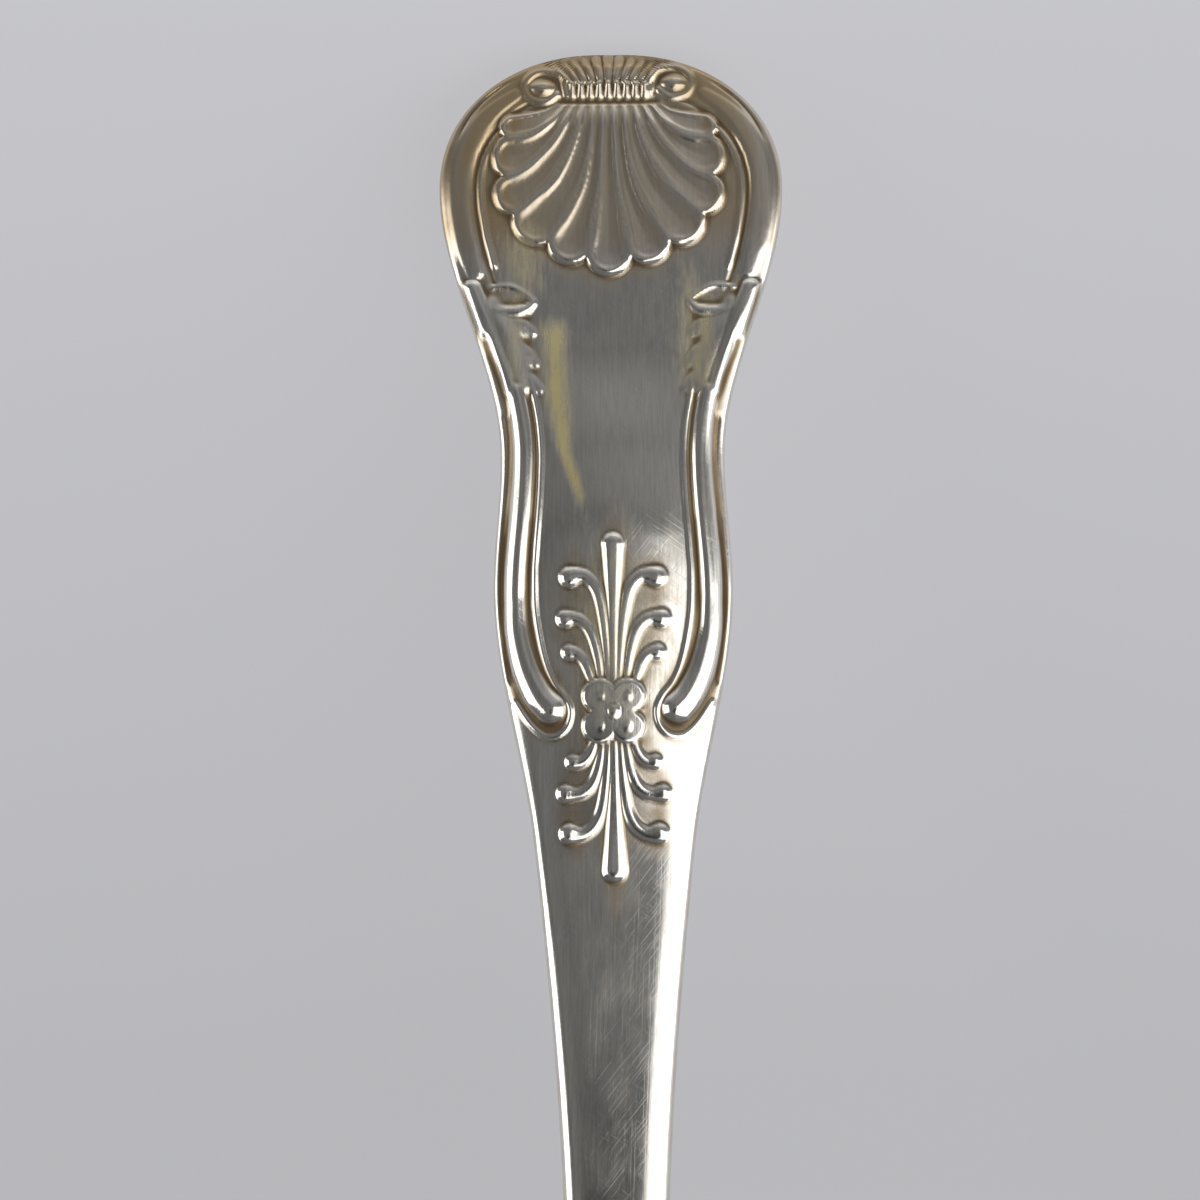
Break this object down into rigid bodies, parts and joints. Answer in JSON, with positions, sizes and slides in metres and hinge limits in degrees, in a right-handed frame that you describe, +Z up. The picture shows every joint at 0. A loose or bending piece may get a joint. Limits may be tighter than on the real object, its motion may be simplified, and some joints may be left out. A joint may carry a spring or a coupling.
{
  "type": "ladle",
  "caption": "Silver sauce ladle with an oval raised bowl and an arched handle struck with reeded scrolls, a scallop shell, leaf clasps and a honeysuckle.",
  "frame": {"origin": "centre of the small worn flat under the bowl, on the table that the ladle lies on", "axes": "+Y from the bowl towards the handle's tip, +Z up from the table, X across the mirror plane"},
  "size_m": [0.0564, 0.1838, 0.0378],
  "materials": {
    "struck_silver": "polished silver, hand-worn, with brown tarnish left in the struck recesses",
    "raised_silver": "polished silver with fine wear scratches",
    "hard_solder": "silver solder, polished in with the joint"
  },
  "bodies": {
    "root": {"handle": "struck_silver", "bowl": "raised_silver", "solder_seam": "hard_solder"}
  },
  "joints": []
}
